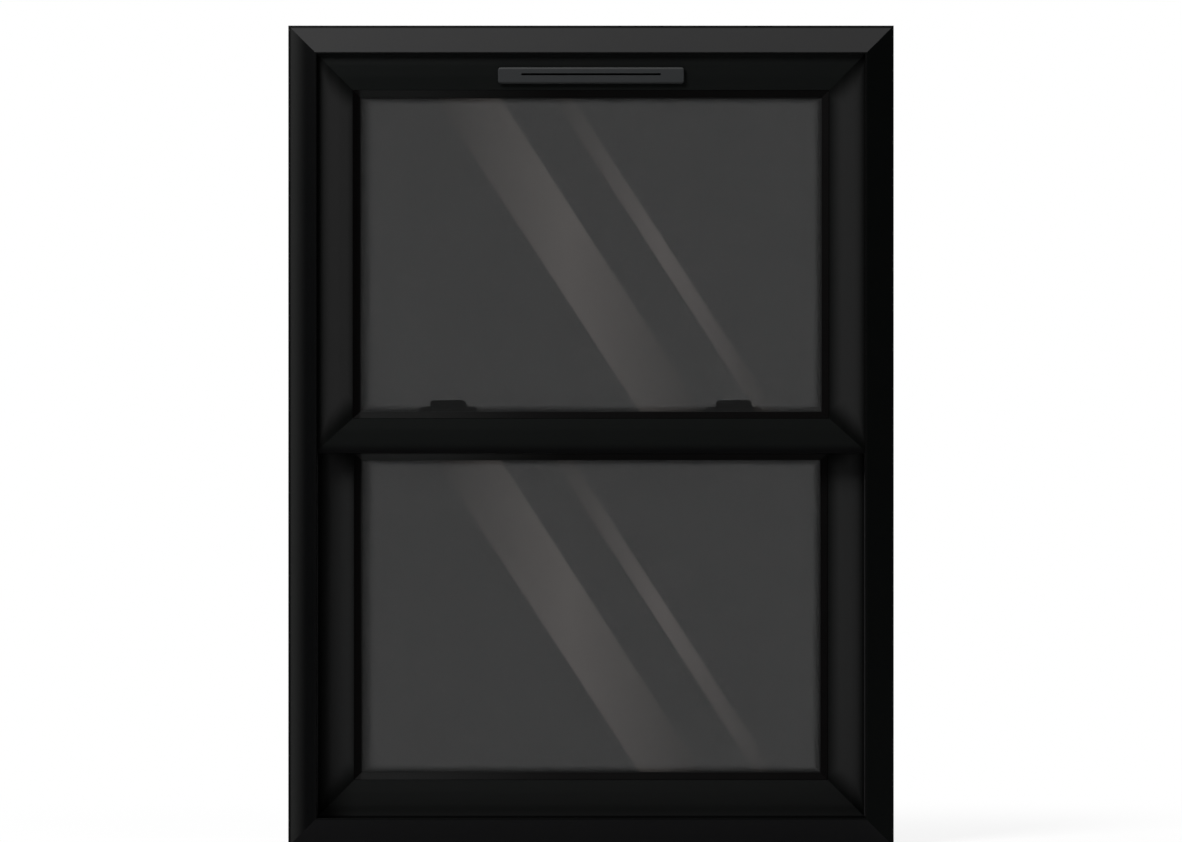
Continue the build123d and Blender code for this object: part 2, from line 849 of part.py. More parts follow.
def setting_blocks(box, scales, y):
    """Blocks that centre the glass in its rebate: two at the foot and head, two a side."""
    floor = inset_box(box, scales, rebate_floor)
    pane = inset_box(box, scales, glass_edge)
    middle, mid_height = box_centre(pane)
    reach_x = (pane[1] - pane[0]) / 2 - block_inset - block_length / 2
    reach_z = (pane[3] - pane[2]) / 2 - block_inset - block_length / 2
    with BuildPart() as blocks:
        with BuildSketch(front_plane(y + glass_front)):
            for low, high in ((floor[2], pane[2]), (pane[3], floor[3])):
                with Locations([(middle + hand * reach_x, (low + high) / 2) for hand in (-1, 1)]):
                    Rectangle(block_length, high - low)
            for low, high in ((floor[0], pane[0]), (pane[1], floor[1])):
                with Locations(
                    [((low + high) / 2, mid_height + hand * reach_z) for hand in (-1, 1)]
                ):
                    Rectangle(high - low, block_length)
        extrude(amount=glass_back - glass_front, dir=back)
    return blocks


def guide_pads(box, y):
    """Four nylon pads on the edges of a sash, which run on the track floors."""
    left, right, bottom, top = box
    width = frame_half - track_floor - guide_clearance - sash_half
    pad_y = y + sash_nose_radius + guide_depth / 2
    with BuildPart() as pads:
        for z in (bottom + guide_inset, top - guide_inset - guide_length):
            with BuildSketch(Plane.XY.offset(z)):
                with Locations((right + width / 2, pad_y)):
                    RectangleRounded(width, guide_depth, guide_corner)
            extrude(amount=guide_length)
        mirror(about=Plane.YZ)
    return pads


def sash_cleats(box, scales, y):
    """Four corner cleats in the room-side hollows of the sash members."""
    low = groove_depth + sash_wall + cleat_clearance
    high = rebate_floor - sash_wall / meeting_scale - cleat_clearance
    depth = y + sash_depth / 2 + sash_wall / 2 + cleat_clearance
    return [
        corner_cleat(corner, box, depth, scales, low, high, cleat_leg) for corner in CORNERS
    ]


# Upper sash, in the outdoor track
vent_z = upper_top - vent_drop
vent_slot_z = vent_z + vent_slot_rise
keeper_z = upper_bottom + sightline * meeting_scale
keeper_back = upper_front + sash_depth
keeper_front = keeper_back - flange_depth + keeper_setback
keeper_screw_y = (keeper_front + keeper_wall + keeper_back) / 2

top_rail_bar = notched_rail("top", upper_box, upper_front, upper_scales)
with BuildPart() as upper_top_rail:
    add(top_rail_bar.part)
    with BuildSketch(front_plane(upper_front)):
        with Locations((0, vent_slot_z)):
            SlotOverall(vent_slot_width, vent_duct_height)
    extrude(amount=sash_depth, dir=back, mode=Mode.SUBTRACT)
write_piece(upper_top_rail, "upper_top_rail")

meeting_bar = notched_rail("bottom", upper_box, upper_front, upper_scales)
with BuildPart() as upper_meeting_rail:
    add(meeting_bar.part)
    with BuildSketch(Plane.XY.offset(keeper_z)):
        with Locations(
            [
                (hand * catch_offset + end * keeper_screw_offset, keeper_screw_y)
                for hand in (-1, 1)
                for end in (-1, 1)
            ]
        ):
            Circle(screw_radius + screw_clearance)
    extrude(amount=-screw_length, mode=Mode.SUBTRACT)
write_piece(upper_meeting_rail, "upper_meeting_rail")

for side in ("left", "right"):
    stile = mitred_side(side, upper_box, upper_front, upper_scales, stile_section)
    write_piece(stile, "upper_stile_" + side)

write_group(sash_cleats(upper_box, upper_scales, upper_front), "upper_corner_cleats")
glazing("upper", upper_box, upper_scales, upper_front)
write_piece(guide_pads(upper_box, upper_front), "upper_guide_pads")

# Brushes on the upper sash: one across its head, one between the meeting rails
head_gap = sash_edge - track_floor
brush_half = sash_half - guide_length
head_seal = brush_strip(
    (-brush_half, upper_front + sash_depth / 2, upper_top),
    (1, 0, 0),
    2 * brush_half,
    (0, 0, 1),
    head_gap - brush_clearance,
)
meeting_seal = brush_strip(
    (-brush_half, upper_front + sash_depth, upper_bottom + meeting_face / 2),
    (1, 0, 0),
    2 * brush_half,
    back,
    sash_gap - brush_clearance,
)
write_group([head_seal, meeting_seal], "upper_brush_seals")

# Trickle vent: a hood outside, a grille inside, and a slider that closes the grille
with BuildPart() as vent_hood:
    with BuildSketch(front_plane(upper_front - vent_hood_depth)):
        with Locations((0, vent_z)):
            RectangleRounded(vent_width, vent_height, vent_corner)
    extrude(amount=vent_hood_depth, dir=back)
    fillet(vent_hood.faces().sort_by(Axis.Y)[0].edges(), vent_edge_radius)
    with BuildSketch(front_plane(upper_front)):
        with Locations((0, vent_z)):
            RectangleRounded(
                vent_width - 2 * vent_wall, vent_height - 2 * vent_wall, vent_corner - vent_wall
            )
    extrude(amount=-(vent_hood_depth - vent_wall), dir=back, mode=Mode.SUBTRACT)
    with BuildSketch(front_plane(upper_front)):
        with Locations((0, vent_slot_z)):
            SlotOverall(vent_slot_width, vent_slot_height)
    extrude(amount=-vent_hood_depth, dir=back, mode=Mode.SUBTRACT)
write_piece(vent_hood, "vent_hood")

grille_back = upper_front + sash_depth
rail_front = grille_back + grille_thickness
rail_height = slider_thickness + 2 * slider_clearance
channel_height = vent_height - 2 * guide_rail_width
channel_width = vent_width - 2 * guide_rail_width
slot_spots = [(grille_pitch * (n - (grille_count - 1) / 2), vent_slot_z) for n in range(grille_count)]
with BuildPart() as vent_grille:
    with BuildSketch(front_plane(grille_back)):
        with Locations((0, vent_z)):
            RectangleRounded(vent_width, vent_height, vent_corner)
        with Locations(slot_spots):
            SlotOverall(grille_slot_width, grille_slot_height, mode=Mode.SUBTRACT)
    extrude(amount=grille_thickness, dir=back)
    with BuildSketch(front_plane(rail_front)):
        with Locations((0, vent_z)):
            RectangleRounded(vent_width, vent_height, vent_corner)
            Rectangle(channel_width, channel_height, mode=Mode.SUBTRACT)
    extrude(amount=rail_height, dir=back)
    with BuildSketch(front_plane(rail_front + rail_height)):
        with Locations((0, vent_z)):
            RectangleRounded(vent_width, vent_height, vent_corner)
            Rectangle(
                channel_width, channel_height - 2 * guide_rail_lip, mode=Mode.SUBTRACT
            )
    extrude(amount=guide_rail_thickness, dir=back)
write_piece(vent_grille, "vent_grille")

slider_length = channel_width - slider_travel - 2 * slider_clearance
slider_x = -(slider_travel / 2)
slider_front = rail_front + slider_clearance
with BuildPart() as vent_slider:
    with BuildSketch(front_plane(slider_front)):
        with Locations((slider_x, vent_z)):
            Rectangle(slider_length, channel_height - 2 * slider_clearance)
        with Locations([(x - slider_travel, z) for x, z in slot_spots]):
            SlotOverall(grille_slot_width, grille_slot_height, mode=Mode.SUBTRACT)
    extrude(amount=slider_thickness, dir=back)
    with BuildSketch(front_plane(slider_front + slider_thickness)):
        with Locations((slider_x + slider_length / 2 - knob_inset, vent_z)):
            SlotOverall(knob_height, knob_width, rotation=90)
    extrude(amount=guide_rail_thickness + slider_clearance, dir=back)
write_piece(vent_slider, "vent_slider")

# Keepers: plates on the meeting rail's flange, with a hook that the lever's end turns under
lever_bottom = lower_top + catch_base_height + lever_gap
lever_top = lever_bottom + lever_thickness
keeper_top = keeper_z + keeper_height
hook_bottom = keeper_top - keeper_hook
hook_back = lower_front - keeper_face_gap
with BuildPart() as catch_keepers:
    with BuildSketch(front_plane(keeper_front)):
        with Locations((catch_offset, keeper_z + keeper_height / 2)):
            RectangleRounded(keeper_width, keeper_height, keeper_corner)
    extrude(amount=keeper_wall, dir=back)
    with BuildSketch(Plane.XY.offset(keeper_z)):
        with Locations((catch_offset, (keeper_front + keeper_back) / 2)):
            Rectangle(keeper_width - 2 * keeper_corner, keeper_back - keeper_front)
        with Locations([(catch_offset + end * keeper_screw_offset, keeper_screw_y) for end in (-1, 1)]):
            Circle(screw_radius + screw_clearance, mode=Mode.SUBTRACT)
    extrude(amount=keeper_foot)
    with BuildSketch(Plane.XY.offset(hook_bottom)):
        with Locations((catch_offset, (keeper_front + hook_back) / 2)):
            Rectangle(keeper_width - 2 * keeper_corner, hook_back - keeper_front)
    extrude(amount=keeper_hook)
    mirror(about=Plane.YZ)
write_piece(catch_keepers, "catch_keepers")

keeper_screws = screws(
    Plane.XY.offset(keeper_z + keeper_foot),
    [(catch_offset + end * keeper_screw_offset, keeper_screw_y) for end in (-1, 1)],
    (0, 0, 1),
    (keeper_screw_head, keeper_head_height),
    screw_radius,
    screw_length,
)
write_piece(keeper_screws, "keeper_screws")

# Lower sash, in the room-side track
catch_y = lower_front + sash_depth / 2
catch_spots = [
    (hand * catch_offset + end * catch_screw_offset, catch_y) for hand in (-1, 1) for end in (-1, 1)
]
lower_meeting_bar = notched_rail("top", lower_box, lower_front, lower_scales)
with BuildPart() as lower_meeting_rail:
    add(lower_meeting_bar.part)
    with BuildSketch(Plane.XY.offset(lower_top)):
        with Locations(catch_spots):
            Circle(screw_radius + screw_clearance)
    extrude(amount=-sash_screw_length, mode=Mode.SUBTRACT)
write_piece(lower_meeting_rail, "lower_meeting_rail")

lift_z = lower_bottom + sash_face / 2
lift_screw_z = lift_z + lift_plate_height / 2 - lift_rise / 2
lift_face = lower_front + sash_depth
lift_spots = [
    (hand * lift_offset + end * lift_screw_offset, lift_screw_z)
    for hand in (-1, 1)
    for end in (-1, 1)
]
bottom_bar = notched_rail("bottom", lower_box, lower_front, lower_scales)
with BuildPart() as lower_bottom_rail:
    add(bottom_bar.part)
    with BuildSketch(front_plane(lift_face)):
        with Locations(lift_spots):
            Circle(screw_radius + screw_clearance)
    extrude(amount=-flange_wall, dir=back, mode=Mode.SUBTRACT)
write_piece(lower_bottom_rail, "lower_bottom_rail")

for side in ("left", "right"):
    stile = mitred_side(side, lower_box, lower_front, lower_scales, stile_section)
    write_piece(stile, "lower_stile_" + side)

write_group(sash_cleats(lower_box, lower_scales, lower_front), "lower_corner_cleats")
glazing("lower", lower_box, lower_scales, lower_front)
write_piece(guide_pads(lower_box, lower_front), "lower_guide_pads")

bottom_seal = brush_strip(
    (-brush_half, lower_front + sash_depth / 2, lower_bottom),
    (1, 0, 0),
    2 * brush_half,
    (0, 0, -1),
    head_gap - brush_clearance,
)
write_group([bottom_seal], "lower_brush_seal")

# Catch bases: rounded housings on the lower meeting rail, each with a bore for its spindle
with BuildPart() as catch_bases:
    with BuildSketch(Plane.XY.offset(lower_top)):
        with Locations((catch_offset, catch_y)):
            RectangleRounded(catch_base_width, catch_base_depth, catch_base_plan_corner)
    extrude(amount=catch_base_height)
    with BuildSketch(front_plane(catch_y)):
        with BuildLine():
            FilletPolyline(
                (catch_offset - catch_base_width / 2, lower_top),
                (catch_offset + catch_base_width / 2, lower_top),
                (catch_offset + catch_base_width / 2, lower_top + catch_base_height),
                (catch_offset - catch_base_width / 2, lower_top + catch_base_height),
                radius=[0, 0, catch_base_corner, catch_base_corner],
                close=True,
            )
        make_face()
    extrude(amount=catch_base_depth, both=True, mode=Mode.INTERSECT)
    with BuildSketch(Plane.XY.offset(lower_top + catch_base_height)):
        with Locations((catch_offset, catch_y)):
            Circle(spindle_radius + spindle_clearance)
    extrude(amount=-(spindle_length + lever_gap), mode=Mode.SUBTRACT)
    with BuildSketch(Plane.XY.offset(lower_top)):
        with Locations([(catch_offset + end * catch_screw_offset, catch_y) for end in (-1, 1)]):
            Circle(screw_radius + screw_clearance)
    extrude(amount=catch_base_height, mode=Mode.SUBTRACT)
    with BuildSketch(Plane.XY.offset(lower_top + catch_base_height / 2)):
        with Locations([(catch_offset + end * catch_screw_offset, catch_y) for end in (-1, 1)]):
            Circle(screw_head_radius + head_clearance)
    extrude(amount=catch_base_height, mode=Mode.SUBTRACT)
    mirror(about=Plane.YZ)
write_piece(catch_bases, "catch_bases")

# Catch levers: a bar with a round hub, a spindle below and a raised grip on the free end
for side, hand in (("left", -1), ("right", 1)):
    pivot_x = hand * catch_offset
    with BuildPart() as lever:
        with BuildSketch(Plane.XY.offset(lever_bottom)):
            with Locations((pivot_x, catch_y)):
                SlotOverall(lever_length, lever_width)
                Circle(lever_hub_radius)
        extrude(amount=lever_thickness)
        fillet(lever.faces().sort_by(Axis.Z)[-1].edges(), lever_thickness / 5)
        with BuildSketch(Plane.XY.offset(lever_bottom)):
            with Locations((pivot_x, catch_y)):
                Circle(spindle_radius)
        extrude(amount=-spindle_length)
    write_piece(lever, "catch_lever_" + side)

# Finger lifts: plates on the bottom rail with a lip that the fingers push up from below
lift_low = lift_z - lift_plate_height / 2
lift_ledge = lift_low + lift_rise
lift_radii = [
    0,
    0,
    lift_edge_radius,
    lift_corner_radius,
    lift_ledge_radius,
    lift_edge_radius,
    lift_edge_radius,
    lift_corner_radius,
    lift_corner_radius,
    lift_edge_radius,
]
with BuildPart() as finger_lifts:
    with BuildSketch(Plane.YZ.offset(lift_offset)):
        with BuildLine():
            FilletPolyline(
                (lift_face, lift_low),
                (lift_face, lift_low + lift_plate_height),
                (lift_face + lift_plate_thickness, lift_low + lift_plate_height),
                (lift_face + lift_plate_thickness, lift_ledge),
                (lift_face + lift_reach, lift_ledge),
                (lift_face + lift_reach, lift_ledge - lift_lip),
                (lift_face + lift_reach - lift_plate_thickness, lift_ledge - lift_lip),
                (
                    lift_face + lift_reach - lift_plate_thickness,
                    lift_ledge - lift_plate_thickness,
                ),
                (lift_face + lift_plate_thickness, lift_ledge - lift_plate_thickness),
                (lift_face + lift_plate_thickness, lift_low),
                radius=lift_radii,
                close=True,
            )
        make_face()
    extrude(amount=lift_width / 2, both=True)
    with BuildSketch(front_plane(lift_face)):
        with Locations([(lift_offset + end * lift_screw_offset, lift_screw_z) for end in (-1, 1)]):
            Circle(screw_radius + screw_clearance)
    extrude(amount=lift_plate_thickness, dir=back, mode=Mode.SUBTRACT)
    mirror(about=Plane.YZ)
write_piece(finger_lifts, "finger_lifts")

# The catch bases and the finger lifts are held by eight like screws
catch_screws = screws(
    Plane.XY.offset(lower_top + catch_base_height / 2),
    [(catch_offset + end * catch_screw_offset, catch_y) for end in (-1, 1)],
    (0, 0, 1),
    (screw_head_radius, screw_head_height),
    screw_radius,
    sash_screw_length,
)
lift_screws = screws(
    front_plane(lift_face + lift_plate_thickness),
    [(lift_offset + end * lift_screw_offset, lift_screw_z) for end in (-1, 1)],
    back,
    (screw_head_radius, screw_head_height),
    screw_radius,
    sash_screw_length,
)
write_group([catch_screws, lift_screws], "lower_sash_screws")
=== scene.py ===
import bmesh
import bpy
import math
from mathutils import Matrix, Vector


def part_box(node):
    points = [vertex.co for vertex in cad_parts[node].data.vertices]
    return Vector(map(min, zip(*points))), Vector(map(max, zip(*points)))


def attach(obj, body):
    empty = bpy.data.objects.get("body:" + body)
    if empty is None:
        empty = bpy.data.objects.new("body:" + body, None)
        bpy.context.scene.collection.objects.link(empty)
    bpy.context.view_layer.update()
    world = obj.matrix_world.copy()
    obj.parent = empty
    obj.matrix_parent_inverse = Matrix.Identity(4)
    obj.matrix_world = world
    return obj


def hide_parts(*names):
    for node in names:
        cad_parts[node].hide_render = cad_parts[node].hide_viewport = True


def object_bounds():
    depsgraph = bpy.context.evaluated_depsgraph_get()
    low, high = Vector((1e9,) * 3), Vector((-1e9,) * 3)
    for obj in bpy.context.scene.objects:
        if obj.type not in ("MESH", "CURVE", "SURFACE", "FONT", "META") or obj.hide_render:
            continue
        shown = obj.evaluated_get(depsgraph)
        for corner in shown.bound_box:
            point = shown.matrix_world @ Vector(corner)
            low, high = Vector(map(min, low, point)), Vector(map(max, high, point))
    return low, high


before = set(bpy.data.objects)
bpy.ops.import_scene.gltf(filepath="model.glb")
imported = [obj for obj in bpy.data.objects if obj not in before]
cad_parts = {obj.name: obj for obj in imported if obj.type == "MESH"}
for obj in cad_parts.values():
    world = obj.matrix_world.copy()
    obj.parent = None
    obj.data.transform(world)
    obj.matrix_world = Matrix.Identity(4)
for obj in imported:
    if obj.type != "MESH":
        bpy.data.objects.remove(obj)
cad_low, cad_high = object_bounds()

# Outer frame: four mitred aluminium extrusions in black powder coat, with a lip that slopes
# back to the wall. Light and shade are painted on the slopes: the head's slope, which looks up
# to the sky, is painted lightest, the left jamb's is painted rolling from light to black, and
# the right jamb's and the sill's are painted dark.


class Signal:
    """A shader socket: arithmetic on it adds Math nodes, and node() adds any other node."""

    def __init__(self, tree, socket=None):
        self.tree = tree
        self.socket = socket

    def node(self, kind, settings, inputs, output=0):
        """Add a node: its settings first, then the values or signals of its sockets."""
        made = self.tree.nodes.new(kind)
        for name, value in settings.items():
            setattr(made, name, value)
        for name, value in inputs.items():
            if isinstance(value, Signal):
                self.tree.links.new(value.socket, made.inputs[name])
            else:
                made.inputs[name].default_value = value
        return Signal(self.tree, made.outputs[output] if made.outputs else None)

    def __add__(self, other):
        return self.node("ShaderNodeMath", {"operation": "ADD"}, {0: self, 1: other})

    def __sub__(self, other):
        return self.node("ShaderNodeMath", {"operation": "SUBTRACT"}, {0: self, 1: other})

    def __rsub__(self, other):
        return self.node("ShaderNodeMath", {"operation": "SUBTRACT"}, {0: other, 1: self})

    def __mul__(self, other):
        return self.node("ShaderNodeMath", {"operation": "MULTIPLY"}, {0: self, 1: other})

    def __abs__(self):
        return self.node("ShaderNodeMath", {"operation": "ABSOLUTE"}, {0: self})

    __radd__ = __add__
    __rmul__ = __mul__


def blank_finish(name):
    """A material with no nodes yet, and a signal that adds them."""
    material = bpy.data.materials.new(name)
    material.use_nodes = True
    material.node_tree.nodes.clear()
    return material, Signal(material.node_tree)


def shade(paint, sockets):
    """Close a material with one Principled shader."""
    shader = paint.node("ShaderNodeBsdfPrincipled", {}, sockets)
    paint.node("ShaderNodeOutputMaterial", {}, {"Surface": shader})


def place(paint):
    """Where a point is on the window, across, through and up, in metres."""
    point = paint.node("ShaderNodeTexCoord", {}, {}, "Object")
    return [paint.node("ShaderNodeSeparateXYZ", {}, {0: point}, axis) for axis in "XYZ"]


def ease(value, low, high):
    """Nought below low and one above high, with a smooth step between."""
    limits = {"Value": value, "From Min": low, "From Max": high}
    return value.node("ShaderNodeMapRange", {"interpolation_type": "SMOOTHSTEP"}, limits)


def past(value, edge, blend):
    """Nought before an edge and one past it, blended over a little on both sides."""
    return ease(value, edge - blend, edge + blend)


def nearer(first, second):
    """The smaller of two distances."""
    return first.node("ShaderNodeMath", {"operation": "MINIMUM"}, {0: first, 1: second})


def tint(mask, dark, light):
    """A colour that goes from dark to light as the mask goes from nought to one."""
    colours = {0: mask}
    for socket, colour in ((6, dark), (7, light)):
        colours[socket] = colour if isinstance(colour, Signal) else (*colour, 1.0)
    return mask.node("ShaderNodeMix", {"data_type": "RGBA"}, colours, 2)


def grain(paint, scale, detail=2.0, stretch=(1.0, 1.0, 1.0)):
    """Fine noise fixed to the window, about one half on average."""
    point = paint.node("ShaderNodeTexCoord", {}, {}, "Object")
    laid = paint.node("ShaderNodeMapping", {}, {"Vector": point, "Scale": stretch})
    return paint.node("ShaderNodeTexNoise", {}, {"Vector": laid, "Scale": scale, "Detail": detail})


def relief(height, strength, distance):
    """A normal that follows a fine pattern of heights."""
    sockets = {"Strength": strength, "Distance": distance, "Height": height}
    return height.node("ShaderNodeBump", {}, sockets)


COAT_GLOSS = 0.04
COAT_ROUGHNESS = 0.42
COAT_GRAIN = 900.0
COAT_CLOUD = 14.0
COAT_PEEL = 0.00012
# The coat's tones: near black, plain, and a lighter tone painted on the uprights' room side as
# painted light, so the uprights read lighter than the members across
COAT_BLACK = (0.0012, 0.0013, 0.0013)
COAT_PLAIN = (0.0056, 0.0058, 0.0060)
COAT_UPRIGHT_PAINTED_LIGHT = (0.0084, 0.0087, 0.0090)


def powder_coat(paint, colour):
    """Satin powder coat: a fine orange peel, and a gloss that wanders a little."""
    peel = grain(paint, COAT_GRAIN)
    cloud = grain(paint, COAT_CLOUD)
    shade(
        paint,
        {
            "Base Color": colour,
            "Roughness": COAT_ROUGHNESS + 0.10 * (cloud - 0.5) + 0.06 * (peel - 0.5),
            "Specular IOR Level": COAT_GLOSS,
            "Normal": relief(peel, 0.35, COAT_PEEL),
        },
    )


BACK_LAYER = 0.00125


def room_side(y, back):
    """One on the face that a member turns to the room, and nought in front of it."""
    return past(y, back - BACK_LAYER, 0.00025)


def dress(material, *names):
    """Give CAD nodes their finish."""
    for name in names:
        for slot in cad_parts[name].material_slots:
            slot.material = material


FRONT = cad_low.y
REAR = cad_high.y
FRAME_HALF = cad_high.x
FRAME_TOP = cad_high.z
SLOPE_DEPTH = 0.0125

# The widths of the near-black painted shade lines along a slope's edges, and of the coat's edge on
# the side
OUTER_SHADE_LINE = 0.0035
INNER_SHADE_LINE = 0.0025
SIDE_LINE = 0.0004
head_low, head_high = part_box("frame_head")
face_width = head_high.z - head_low.z

# Each member's painted light and shade on its slope, beside its outer edge and beside its inner
# edge
SLOPE_PAINTED_LIGHT = {
    "frame_head": ((0.0255, 0.0255, 0.0257), (0.0250, 0.0250, 0.0253)),
    "frame_sill": ((0.0034, 0.0034, 0.0037), (0.0038, 0.0038, 0.0041)),
    "frame_jamb_left": ((0.0116, 0.0119, 0.0116), (0.0003, 0.0004, 0.0005)),
    "frame_jamb_right": ((0.0008, 0.0011, 0.0010), (0.0008, 0.0011, 0.0010)),
}

# How far in from the outer edge the painted light rolls to painted shade, where that isn't the
# whole face
SLOPE_SHADE_ROLL = {"frame_jamb_left": (0.003, 0.028)}

for name, (outer_tone, inner_tone) in SLOPE_PAINTED_LIGHT.items():
    material, paint = blank_finish(name + "_coat")
    x, y, z = place(paint)
    inward = {
        "frame_head": FRAME_TOP - z,
        "frame_sill": z,
        "frame_jamb_left": x + FRAME_HALF,
        "frame_jamb_right": FRAME_HALF - x,
    }[name]
    roll_start, roll_end = SLOPE_SHADE_ROLL.get(name, (0.0, face_width))
    slope_painted_light = tint(ease(inward, roll_start, roll_end), outer_tone, inner_tone)
    on_slope = 1.0 - past(y, FRONT + SLOPE_DEPTH, 0.0005)
    # Near-black painted shade lines along both edges of each slope
    inside_shade_lines = nearer(
        past(inward, OUTER_SHADE_LINE, 0.001), 1.0 - past(inward, face_width - INNER_SHADE_LINE, 0.0005)
    )
    # Off the slope the coat is painted near black inside the frame, as painted shade, and plain on
    # its outer side; on the room side the jambs are painted lighter, as painted light
    on_side = (1.0 - past(inward, SIDE_LINE, 0.0002)) * (1.0 - on_slope)
    back_tone = COAT_UPRIGHT_PAINTED_LIGHT if "jamb" in name else COAT_PLAIN
    hidden_tone = tint(room_side(y, REAR), tint(on_side, COAT_BLACK, COAT_PLAIN), back_tone)
    powder_coat(paint, tint(on_slope * inside_shade_lines, hidden_tone, slope_painted_light))
    dress(material, name)

# Interior stops and sill infill: the same coat. The stops snap over ribs on the frame and are
# painted lighter towards the room, as painted light, and the infill, in the outdoor sill track,
# is painted near black as painted shade, with a faint random cloud.
# How far in from the room side the stops' painted light begins, and where it is full
STOP_LIGHT_START = 0.0160
STOP_LIGHT_FULL = 0.0010
INFILL_CLOUD = (0.0016, 0.0017, 0.0017)
stop_coat, paint = blank_finish("stop_coat")
x, y, z = place(paint)
painted_room_light = ease(y, REAR - STOP_LIGHT_START, REAR - STOP_LIGHT_FULL)
powder_coat(paint, tint(painted_room_light, COAT_BLACK, COAT_PLAIN))
dress(stop_coat, "interior_stops")
infill_coat, paint = blank_finish("infill_coat")
powder_coat(paint, tint(grain(paint, 20.0), COAT_BLACK, INFILL_CLOUD))
dress(infill_coat, "sill_infill")

# Sashes: mitred hollow extrusions with a crowned face, with light and shade painted on. Rails
# are painted flat near-black, and stiles a soft grey band of painted light that rolls off to
# black painted shade at both edges and at the mitres; the room side is painted plain, lighter
# on the stiles as painted light.
RAILS = {"upper": ("top_rail", "meeting_rail"), "lower": ("bottom_rail", "meeting_rail")}
# Each sash's rails are painted a different tone of the one coat, as painted light
RAIL_PAINTED_LIGHT = {"upper": (0.0033, 0.0038, 0.0036), "lower": (0.0055, 0.0059, 0.0057)}
# The top and bottom rails' outer edges are painted lighter, as painted light against the frame's
# shadow, and the meeting rails' edges darker, as painted shade
RAIL_EDGE_LIGHT_AND_SHADE = {
    "top_rail": (0.0100, 0.0105, 0.0105),
    "meeting_rail": (0.0008, 0.0008, 0.0009),
    "bottom_rail": (0.0088, 0.0090, 0.0090),
}
RAIL_EDGE_ROLL = (0.003, 0.016)
# Each stile's band of painted light, different for each sash and side, and the painted shade at
# its edges
STILE_PAINTED_LIGHT = {
    ("upper", "left"): (0.0110, 0.0110, 0.0110),
    ("upper", "right"): (0.0138, 0.0140, 0.0140),
    ("lower", "left"): (0.0130, 0.0133, 0.0133),
    ("lower", "right"): (0.0150, 0.0153, 0.0153),
}
STILE_EDGE_SHADE = (0.0009, 0.0011, 0.0010)

# How far in from the sash's edge each stile's band of painted light rises and falls
STILE_LIGHT_BANDS = {"left": (0.004, 0.026, 0.046, 0.066), "right": (0.002, 0.018, 0.034, 0.062)}
# How far from a mitre the painted shade there fades out
MITRE_SHADE_ROLL = 0.045
CROWN_DEPTH = 0.005

for sash, rails in RAILS.items():
    sash_low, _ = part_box(f"{sash}_stile_left")
    _, sash_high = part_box(f"{sash}_stile_right")
    for name in rails:
        material, paint = blank_finish(f"{sash}_{name}_coat")
        x, y, z = place(paint)
        inward = nearer(sash_high.z - z, z - sash_low.z)
        # The rail's painted edge tone rolling into its flat painted tone
        face_light_and_shade = tint(ease(inward, *RAIL_EDGE_ROLL), RAIL_EDGE_LIGHT_AND_SHADE[name], RAIL_PAINTED_LIGHT[sash])
        powder_coat(paint, tint(room_side(y, sash_high.y), face_light_and_shade, COAT_PLAIN))
        dress(material, f"{sash}_{name}")
    for side, (rise_start, rise_end, fall_start, fall_end) in STILE_LIGHT_BANDS.items():
        material, paint = blank_finish(f"{sash}_stile_{side}_coat")
        x, y, z = place(paint)
        inward = sash_high.x - abs(x)
        along = nearer(sash_high.z - z, z - sash_low.z)
        # The stile's band of painted light, with painted shade at its edges and towards the mitres
        light_band = nearer(ease(inward, rise_start, rise_end), 1.0 - ease(inward, fall_start, fall_end))
        light_band = nearer(light_band, ease(along - inward, 0.0, MITRE_SHADE_ROLL))
        on_face = 1.0 - past(y, sash_low.y + CROWN_DEPTH, 0.001)
        face_light_and_shade = tint(light_band * on_face, STILE_EDGE_SHADE, STILE_PAINTED_LIGHT[sash, side])
        powder_coat(paint, tint(room_side(y, sash_high.y), face_light_and_shade, COAT_UPRIGHT_PAINTED_LIGHT))
        dress(material, f"{sash}_stile_{side}")

# Glazing beads: bevelled strips that clip behind the sash's face and press on the gasket.
# The ones across are painted with light on the left that falls to black painted shade on the
# right, and the lower sash's top one, in the shade of the upper sash, is painted lighter so that
# it still shows.
BEAD_PAINTED_LIGHT = (0.0047, 0.0049, 0.0048)
BEAD_PAINTED_LIGHT_IN_SHADE = (0.0170, 0.0178, 0.0174)
BEAD_PAINTED_SHADE = (0.0004, 0.0002, 0.0002)

# Where the upright beads begin, where the painted light on the ones across fades, and how near the
# ends the painted tones hold
UPRIGHT_BEADS = 0.338
BEAD_LIGHT_FADE = (-0.30, -0.02)
BEAD_ENDS = 0.1
for sash, top_painted_light in (("upper", BEAD_PAINTED_LIGHT), ("lower", BEAD_PAINTED_LIGHT_IN_SHADE)):
    beads_low, beads_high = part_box(f"{sash}_glazing_beads")
    bead_coat, paint = blank_finish(f"{sash}_bead_coat")
    x, y, z = place(paint)
    across_beads = 1.0 - past(abs(x), UPRIGHT_BEADS, 0.002)
    painted_light_leftward = 1.0 - ease(x, *BEAD_LIGHT_FADE)
    upward = ease(z, beads_low.z + BEAD_ENDS, beads_high.z - BEAD_ENDS)
    painted_bead_light = tint(upward, BEAD_PAINTED_LIGHT, top_painted_light)
    powder_coat(paint, tint(across_beads * painted_light_leftward, BEAD_PAINTED_SHADE, painted_bead_light))
    dress(bead_coat, f"{sash}_glazing_beads")

